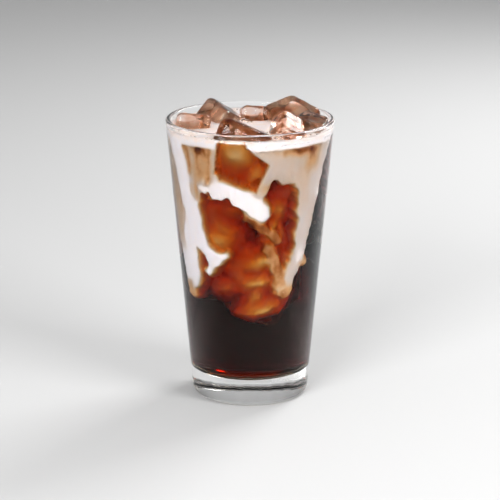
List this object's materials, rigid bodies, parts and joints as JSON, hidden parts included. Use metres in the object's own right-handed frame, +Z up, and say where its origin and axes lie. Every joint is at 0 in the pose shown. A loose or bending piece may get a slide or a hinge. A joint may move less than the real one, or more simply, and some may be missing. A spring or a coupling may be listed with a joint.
{
  "type": "iced coffee in a glass",
  "caption": "Tall tapered glass of iced cold brew coffee with sweet cream running down inside the wall and ice cubes standing out at the top.",
  "frame": {"origin": "centre of the glass's foot, on the table", "axes": "+Z up along the glass's axis; -Y towards the side shown in front; +X to the right of it"},
  "size_m": [0.0878, 0.0878, 0.1575],
  "materials": {
    "clear_glass": "polished",
    "coffee": "clear dark brown liquid",
    "cream": "smooth opaque cream",
    "ice": "wet clear ice"
  },
  "bodies": {
    "root": {"glass": "clear_glass", "cold_brew": "coffee", "sweet_cream": "cream", "ice_front": "ice", "ice_front_right": "ice", "ice_left": "ice", "ice_back_right": "ice", "ice_right": "ice", "ice_back_left": "ice", "ice_middle": "ice"}
  },
  "joints": []
}
